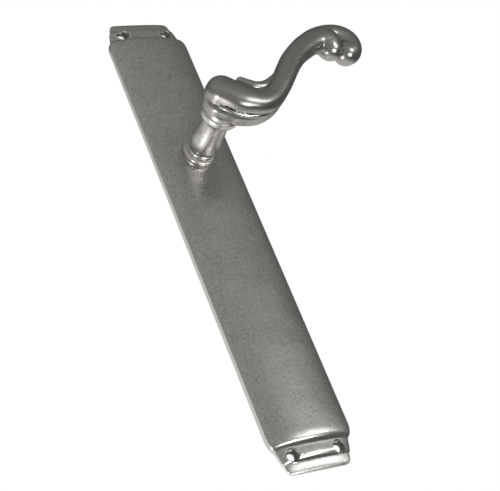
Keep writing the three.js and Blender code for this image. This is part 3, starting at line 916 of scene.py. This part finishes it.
def onto_surface(points, rounds=2):
    """Moves points onto the field's zero level along its slope."""
    probe, furthest = 0.02, 0.4
    for _ in range(rounds):
        x, h, z = points.T
        here = scroll_field(x, z, h)
        slope = np.stack([
            scroll_field(x + probe, z, h) - here,
            scroll_field(x, z, h + probe) - here,
            scroll_field(x, z + probe, h) - here,
        ], axis=1) / probe
        size = np.maximum((slope**2).sum(axis=1), 0.2)
        move = np.clip(here / size, -furthest, furthest)
        points = points - slope * move[:, None]
    return points


def lever_scroll():
    """The grip with its head and curled end, as one skin over all the strands."""
    step = SAMPLE_STEP
    xs, hs, zs = (np.arange(a, b, step) for a, b in zip(SAMPLE_LOW, SAMPLE_HIGH))
    grid_x, grid_z = np.meshgrid(xs, zs, indexing="ij")
    field = scroll_field(grid_x.ravel(), grid_z.ravel(), hs)
    field = field.reshape(len(xs), len(zs), len(hs)).transpose(0, 2, 1)
    points, quads = surface_net(field, SAMPLE_LOW, step)
    points = onto_surface(points)
    points[:, 2] += NECK_Z
    make_piece("lever_scroll", points, quads, "lever", "scroll", ["lever_handle"], 75, 1.6)


# ---- spindle and its pin ----


def spindle():
    """The square bar, with chamfered ends and rounded corners."""
    low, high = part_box("spindle")
    half = (high[0] - low[0]) / 2 / MM
    chamfer, corner_radius = 0.7, 0.7
    sections = []
    inner, outer = heights("spindle")
    for height, inset in ((inner, chamfer), (inner + chamfer, 0), (outer - chamfer, 0), (outer, chamfer)):
        side = half - inset
        corners = [(-side, -side), (side, -side), (side, side), (-side, side)]
        sections.append([(x, height, NECK_Z + z) for x, z in rounded(corners, corner_radius)])
    verts, faces = loft(sections)
    make_piece("spindle_look", verts, faces, "lever", "steel", ["spindle"], 30)


def spindle_pin():
    """The pin across the neck that holds the spindle, hollow like a rolled pin."""
    low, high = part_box("spindle_pin")
    reach = high[0] / MM
    radius = (high[2] - low[2]) / 2 / MM
    height = -(low[1] + high[1]) / 2 / MM
    bore = 0.6
    outline = rounded([(bore, -reach), (radius, -reach), (radius, reach), (bore, reach)], 0.4)
    verts, faces = lathe(outline, 32, (0, 0))
    turned = [(h, height + x, NECK_Z + z) for x, h, z in verts]
    make_piece("spindle_pin_look", turned, faces, "lever", "steel", ["spindle_pin"])


# ---- driver, stops and rings behind the plate ----


def polar_plate(inner, outer, angles, levels, edge=0.12, closed=True):
    """A flat plate about the neck's axis whose inner and outer radii are functions of the angle."""
    low, high = levels
    rows = []
    for angle in angles:
        r0, r1 = inner(angle), outer(angle)
        loop = [(r0 + edge, low), (r1 - edge, low), (r1, low + edge), (r1, high - edge)]
        loop += [(r1 - edge, high), (r0 + edge, high), (r0, high - edge), (r0, low + edge)]
        rows.append([polar(r, angle, h) for r, h in loop])
    verts = [p for row in rows for p in row]
    count = len(rows[0])
    faces = grid_faces(len(rows), count, closed_rows=closed, closed_columns=True)
    if not closed:
        faces += [tuple(range(count)), tuple(range(len(verts) - count, len(verts)))]
    return verts, faces


def stepped_angles(edges, spacing=3.0):
    """Angles round a circle that meet each edge from both sides."""
    near = 0.05
    marks = [(e + side * near) % 360 for e in edges for side in (-1, 1)]
    return sorted({*marks, *(float(a) for a in np.arange(0, 360, spacing))})


STOP_RADIUS = 11.2
STOP_ANGLES = {"stop_pin_upper": -60.0, "stop_pin_lower": 120.0}
STOP_PIN_RADIUS = 0.9
STOP_CLEARANCE_DEG = 1.2
STOP_NOTCH_RADIUS = 9.9
SPRING_ANGLE = 180.0  # where the spring's inner end meets the driver plate
SPRING_NOTCH_HALF_DEG, SPRING_NOTCH_RADIUS = 4.8, 9.3


def driver_plate():
    """The plate that turns with the neck, with a notch for each stop pin and one for the spring."""
    slack = math.degrees(STOP_PIN_RADIUS / STOP_RADIUS) + STOP_CLEARANCE_DEG
    notches = [(a - DROP_DEG - slack, a + slack, STOP_NOTCH_RADIUS) for a in STOP_ANGLES.values()]
    half = SPRING_NOTCH_HALF_DEG
    notches.append((SPRING_ANGLE - half, SPRING_ANGLE + half, SPRING_NOTCH_RADIUS))
    flat = 6.8

    def outer(angle):
        for start, end, floor_radius in notches:
            if (angle - start) % 360 < end - start:
                return floor_radius
        return radius_of("driver_plate")

    def inner(angle):
        return min(JOURNAL_RADIUS + 0.15, flat / max(abs(math.cos(math.radians(angle))), 1e-6))

    angles = stepped_angles([e for notch in notches for e in notch[:2]])
    verts, faces = polar_plate(inner, outer, angles, heights("driver_plate"))
    make_piece("driver_plate_look", verts, faces, "lever", "steel", ["driver_plate"], 30)


def thrust_washer():
    """The flat washer between the bush and the driver plate."""
    low, high = heights("thrust_washer")
    bore, outer = 7.6, 9.6
    outline = rounded([(bore, low), (outer, low), (outer, high), (bore, high)], 0.12)
    verts, faces = lathe(outline, 96)
    make_piece("thrust_washer_look", verts, faces, "lever", "steel", ["thrust_washer"], 40)


def circlip():
    """An open ring, gap at the bottom, with a round ear at each end."""
    start, end = 120, 420
    ear, ear_deg = 0.7, 12
    bore = 6.75
    angles = np.linspace(start, end, 100)
    outer_radius = radius_of("circlip")

    def outer(angle):
        """The outer radius: full at the ends, and less by ear beyond the last ear_deg degrees."""
        near_end = min(angle - start, end - angle)
        return outer_radius - ear + ear * math.cos(math.radians(min(near_end, ear_deg) * 90 / ear_deg))

    verts, faces = polar_plate(lambda a: bore, outer, angles, heights("circlip"), 0.1, closed=False)
    make_piece("circlip_look", verts, faces, "lever", "spring", ["circlip"], 40)


def stop_pins():
    """The two pins on the plate that the driver plate's notches stop at."""
    for node, angle in STOP_ANGLES.items():
        low, high = heights(node)
        x, _, z = polar(STOP_RADIUS, angle, 0)
        flat, side = 0.3, STOP_PIN_RADIUS
        outline = rounded([(flat, low), (side, low), (side, high), (flat, high)], 0.2, closed=False)
        verts, faces = solid_lathe(outline, 32, (x, z))
        make_piece(node + "_look", verts, faces, "plate", "steel", [node])


# ---- return spring and its anchor ----

SPRING_RADIUS, SPRING_WIRE, SPRING_PITCH, SPRING_TURNS = 13.6, 1.25, 1.4, 1.6
SPRING_HEIGHT = 2.2


def tube(path, radius, sides=14):
    """A closed tube along a path of points."""
    path = np.array(path, dtype=float)
    tangents = np.gradient(path, axis=0)
    tangents /= np.linalg.norm(tangents, axis=1)[:, None]
    side = np.cross(tangents[0], (0, 1, 0))
    verts = []
    turns = np.linspace(0, 2 * math.pi, sides, endpoint=False)
    for point, tangent in zip(path, tangents):
        side = side - tangent * side.dot(tangent)
        side /= np.linalg.norm(side)
        up = np.cross(tangent, side)
        verts += [tuple(point + radius * (math.cos(t) * side + math.sin(t) * up)) for t in turns]
    faces = grid_faces(len(path), sides, closed_columns=True)
    faces += [tuple(range(sides)), tuple(range(len(verts) - sides, len(verts)))]
    return verts, faces


def return_spring():
    """The coil, from the driver plate's notch round to its anchor pin."""
    start, whole = SPRING_ANGLE, 360 * SPRING_TURNS
    end, top, lead = start - whole, SPRING_HEIGHT + SPRING_PITCH * SPRING_TURNS, 10
    points = [polar(r, start - lag, SPRING_HEIGHT) for r, lag in ((9.7, 0), (11.4, 0), (12.9, 3))]
    for done in np.linspace(0, 1, 41):
        angle = start - lead - (whole - 2 * lead) * done
        points.append(polar(SPRING_RADIUS, angle, SPRING_HEIGHT + SPRING_PITCH * SPRING_TURNS * done))
    points += [polar(14.4, end + 3, top), polar(16, end, top), polar(18.8, end, top)]
    verts, faces = tube(smooth_through(points, 4), SPRING_WIRE / 2)
    spring = make_piece(
        "return_spring_look", verts, faces, None, "spring", ["return_spring"], 60
    )
    middle = NECK_Z * MM
    fixed_end, turned_end = (0, -top * MM, middle), (0, -SPRING_HEIGHT * MM, middle)
    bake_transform(spring)
    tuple(fixed_end)
    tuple(turned_end)


def spring_anchor_pin():
    """The pin on the plate that holds the spring's outer end."""
    low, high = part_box("spring_anchor_pin")
    at = ((low[0] + high[0]) / 2 / MM, (low[2] + high[2]) / 2 / MM)
    inner, outer = heights("spring_anchor_pin")
    outline = rounded([(0.4, inner), (1, inner), (1, outer), (0.4, outer)], 0.25, closed=False)
    verts, faces = solid_lathe(outline, 32, at)
    make_piece("spring_anchor_pin_look", verts, faces, "plate", "steel", ["spring_anchor_pin"])


# ---- spring cover and its screws ----


def spring_cover():
    """A pressed ring whose two ears step up to their screw bosses."""
    low, high = heights("spring_cover")
    thick, bore = 0.8, 10.3
    ring_outer, ear_outer, ear_half = 16.0, 23.0, 3.6
    radii = np.array([bore, 12.5, 14.6, 15.1, 15.6, 16.0, 17.5, 19.5, 21.5, 23.0])
    ramp_start, ramp_end = 14.8, 16.0
    columns = len(radii)
    edges = [90 + s * math.degrees(math.asin(ear_half / ring_outer)) + t for s in (-1, 1) for t in (0, 180)]
    angles = stepped_angles(edges)
    rows = []
    for angle in angles:
        on_ear = abs(math.cos(math.radians(angle))) * ring_outer < ear_half
        reach = ear_outer if on_ear else ring_outer
        row = []
        for radius in radii:
            r = bore + (radius - bore) * (reach - bore) / (ear_outer - bore)
            x, _, z = polar(r, angle, 0)
            if on_ear and r > ring_outer:
                x = math.copysign(min(abs(x), ear_half), x)
            up = 0.0
            if on_ear:
                t = min(max((r - ramp_start) / (ramp_end - ramp_start), 0), 1)
                up = (high - low - thick) * t * t * (3 - 2 * t)
            row.append((x, low + up, z))
        rows.append(row)
    flat = [p for row in rows for p in row]
    verts = [*flat, *((x, h + thick, z) for x, h, z in flat)]
    lower = grid_faces(len(rows), columns, closed_rows=True)
    count = len(flat)
    faces = [*lower, *(tuple(i + count for i in f) for f in lower)]
    for r in range(len(rows)):
        after = (r + 1) % len(rows)
        for c in (0, columns - 1):
            a, b = r * columns + c, after * columns + c
            faces.append((a, b, b + count, a + count))
    cover = solid_object("spring_cover_look", verts, faces)
    holes = [
        solid_object("hole", *solid_lathe([(1.5, 1), (1.5, 4)], 32, (0.0, NECK_Z + s * COVER_SCREW_Z)))
        for s in (-1, 1)
    ]
    combine(cover, "DIFFERENCE", holes)
    finish_piece(cover, "plate", "steel", ["spring_cover"], 35)


def cover_screws():
    """Two cross-slotted screws that hold the cover on its bosses."""
    for node, side in (("cover_screw_upper", 1), ("cover_screw_lower", -1)):
        low, high = heights(node)
        at = (0.0, NECK_Z + side * COVER_SCREW_Z)
        head = [(0.4, low), (1.6, low), (2.3, low + 0.3), (2.6, low + 0.9), (2.6, low + 1.4)]
        shank = [(1.25, low + 1.4), (1.25, high - 0.5), (0.8, high)]
        screw = solid_object(node + "_look", *solid_lathe([*head, *shank], 48, at))
        slots = []
        for length, width in ((1.9, 0.35), (0.35, 1.9)):
            corners = [(-length, -width), (length, -width), (length, width), (-length, width)]
            slot = loft([[(x, h, at[1] + z) for x, z in corners] for h in (low - 1, low + 0.7)])
            slots.append(solid_object("slot", *slot))
        combine(screw, "DIFFERENCE", slots)
        finish_piece(screw, "plate", "steel", [node], 40)


# ---- the whole ----

bpy.context.scene.view_settings.view_transform = "Standard"
make_camera()
make_world()
make_lights()
make_floor()

backplate()
collar_ring()
neck_bush()
lever_neck()
lever_scroll()
spindle()
spindle_pin()
driver_plate()
thrust_washer()
circlip()
stop_pins()
return_spring()
spring_anchor_pin()
spring_cover()
cover_screws()
